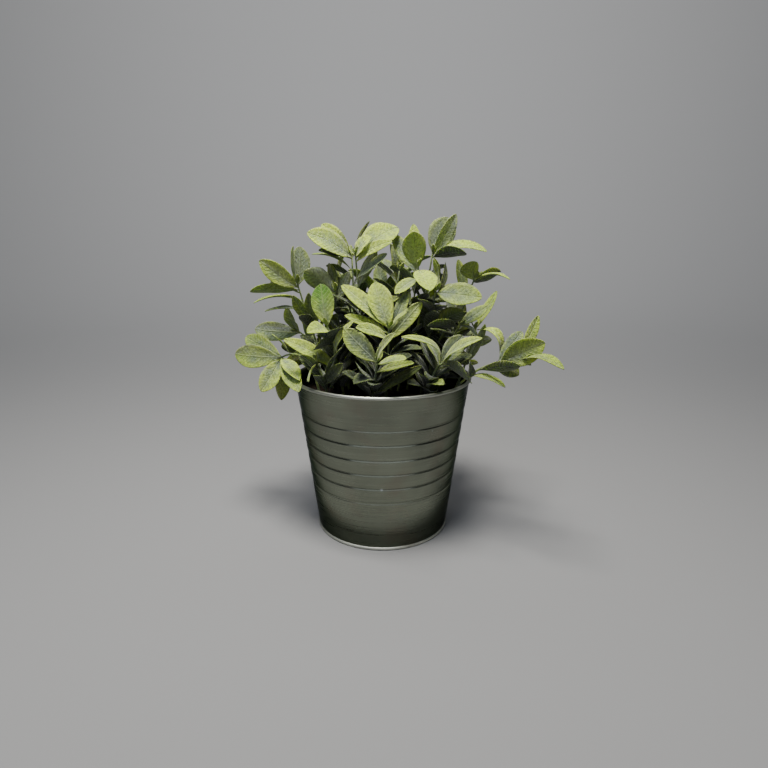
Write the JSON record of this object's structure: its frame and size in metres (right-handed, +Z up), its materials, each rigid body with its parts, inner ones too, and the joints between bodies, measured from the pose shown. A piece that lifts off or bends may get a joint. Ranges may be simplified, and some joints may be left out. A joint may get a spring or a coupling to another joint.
{
  "type": "potted sage plant",
  "caption": "Leafy sage bush in a tapered steel pot with a rolled rim, pressed rings and a bright rolled foot seam, filled with dark soil.",
  "frame": {"origin": "middle of the bounding box's bottom face, on the pot's axis and the plane it stands on", "axes": "+Z up along the pot's axis, -Y towards the side the picture shows, +X to that side's right"},
  "size_m": [0.2225, 0.1594, 0.2362],
  "materials": {
    "pot_steel": "satin",
    "seam_steel": "polished",
    "leaf": "felted",
    "soil": "matte"
  },
  "bodies": {
    "root": {"pot_bottom": "seam_steel", "pot_wall": "pot_steel", "soil": "soil", "sprig_back_01": "leaf", "sprig_back_02": "leaf", "sprig_back_04": "leaf", "sprig_back_07": "leaf", "sprig_back_09": "leaf", "sprig_back_10": "leaf", "sprig_back_12": "leaf", "sprig_back_14": "leaf", "sprig_back_15": "leaf", "sprig_back_17": "leaf", "sprig_back_20": "leaf", "sprig_back_22": "leaf", "sprig_back_23": "leaf", "sprig_back_25": "leaf", "sprig_back_27": "leaf", "sprig_centre_front": "leaf", "sprig_centre_right": "leaf", "sprig_centre_top": "leaf", "sprig_left_front": "leaf", "sprig_left_inner": "leaf", "sprig_left_low": "leaf", "sprig_left_mid": "leaf", "sprig_left_tall": "leaf", "sprig_low_front": "leaf", "sprig_right_front": "leaf", "sprig_right_low": "leaf", "sprig_right_mid": "leaf", "sprig_right_outer": "leaf", "sprig_right_tall": "leaf", "sprig_right_upper": "leaf", "sprig_rim_left": "leaf", "sprig_top_left": "leaf", "sprig_top_right": "leaf"}
  },
  "joints": []
}
